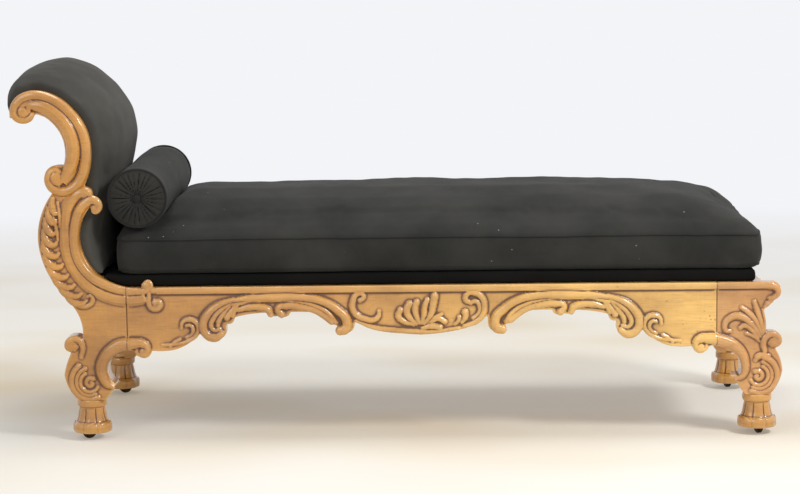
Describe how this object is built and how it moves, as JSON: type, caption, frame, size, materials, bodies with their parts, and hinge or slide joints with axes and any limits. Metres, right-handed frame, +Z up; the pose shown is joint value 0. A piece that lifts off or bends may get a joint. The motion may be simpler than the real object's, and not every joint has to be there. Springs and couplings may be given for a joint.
{
  "type": "fainting couch",
  "caption": "Carved maple fainting couch with a scrolled upholstered headrest, loose seat cushion and bolster, on turned feet with casters.",
  "frame": {"origin": "on the floor, under the middle of the couch's bounding box", "axes": "+X along the couch from the headrest to the foot end, +Y from the front side to the back side, +Z up"},
  "size_m": [1.88, 0.6632, 0.922],
  "materials": {
    "maple": "satin lacquer over figured maple, darker in the carved recesses",
    "inner_wood": "plain sawn hardwood, unfinished",
    "brass": "dark tarnished brass",
    "wheel": "dark brown worn brass roller",
    "cover_cloth": "matt charcoal plain weave",
    "piping_cloth": "matt charcoal piping",
    "deck_cloth": "matt black plain weave",
    "hessian": "coarse open jute weave",
    "webbing": "herringbone jute webbing"
  },
  "bodies": {
    "frame": {"head_standards": "maple", "head_scrolls": "maple", "foot_standards": "maple", "side_rail_front": "maple", "side_rail_back": "maple", "turned_feet": "maple", "caster_sockets": "brass", "head_arms": "inner_wood", "rail_tenons": "inner_wood", "head_cross_rail": "inner_wood", "seat_bearer_head": "inner_wood", "seat_bearer_foot": "inner_wood", "corner_blocks": "inner_wood", "head_crest_rail": "inner_wood", "head_middle_slat": "inner_wood", "head_lower_slat": "inner_wood", "head_seat_rail": "inner_wood", "head_tacking_rail": "inner_wood", "foot_cross_rail": "maple", "head_hessian": "hessian", "head_pad": "cover_cloth", "head_back_cloth": "cover_cloth", "seat_webbing": "webbing", "seat_hessian": "hessian", "deck_pad": "deck_cloth"},
    "caster_head_front": {"caster_fork_head_front": "brass"},
    "wheel_head_front": {"caster_wheel_head_front": "wheel"},
    "caster_head_back": {"caster_fork_head_back": "brass"},
    "wheel_head_back": {"caster_wheel_head_back": "wheel"},
    "caster_foot_front": {"caster_fork_foot_front": "brass"},
    "wheel_foot_front": {"caster_wheel_foot_front": "wheel"},
    "caster_foot_back": {"caster_fork_foot_back": "brass"},
    "wheel_foot_back": {"caster_wheel_foot_back": "wheel"},
    "cushion": {"seat_cushion": "cover_cloth", "cushion_piping": "piping_cloth"},
    "bolster": {"bolster": "cover_cloth", "bolster_piping": "piping_cloth", "bolster_buttons": "cover_cloth"}
  },
  "joints": [
    {"name": "caster_swivel_head_front", "type": "hinge", "parent": "frame", "child": "caster_head_front", "pos_m": [-0.756, -0.285, 0.04], "axis": [0, 0, 1], "continuous": true},
    {"name": "wheel_spin_head_front", "type": "hinge", "parent": "caster_head_front", "child": "wheel_head_front", "pos_m": [-0.76446, -0.28808, 0.017], "axis": [-0.342, 0.9397, 0], "continuous": true},
    {"name": "caster_swivel_head_back", "type": "hinge", "parent": "frame", "child": "caster_head_back", "pos_m": [-0.756, 0.285, 0.04], "axis": [0, 0, 1], "continuous": true},
    {"name": "wheel_spin_head_back", "type": "hinge", "parent": "caster_head_back", "child": "wheel_head_back", "pos_m": [-0.74754, 0.28808, 0.017], "axis": [0.342, -0.9397, 0], "continuous": true},
    {"name": "caster_swivel_foot_front", "type": "hinge", "parent": "frame", "child": "caster_foot_front", "pos_m": [0.882, -0.285, 0.04], "axis": [0, 0, 1], "continuous": true},
    {"name": "wheel_spin_foot_front", "type": "hinge", "parent": "caster_foot_front", "child": "wheel_foot_front", "pos_m": [0.88508, -0.29346, 0.017], "axis": [-0.9397, -0.342, 0], "continuous": true},
    {"name": "caster_swivel_foot_back", "type": "hinge", "parent": "frame", "child": "caster_foot_back", "pos_m": [0.882, 0.285, 0.04], "axis": [0, 0, 1], "continuous": true},
    {"name": "wheel_spin_foot_back", "type": "hinge", "parent": "caster_foot_back", "child": "wheel_foot_back", "pos_m": [0.87892, 0.29346, 0.017], "axis": [0.9397, 0.342, 0], "continuous": true},
    {"name": "cushion_lift", "type": "slide", "parent": "frame", "child": "cushion", "axis": [0.5, 0, 0.866], "range_m": [0, 0.35]},
    {"name": "bolster_lift", "type": "slide", "parent": "cushion", "child": "bolster", "axis": [0.5, 0, 0.866], "range_m": [0, 0.3]}
  ]
}
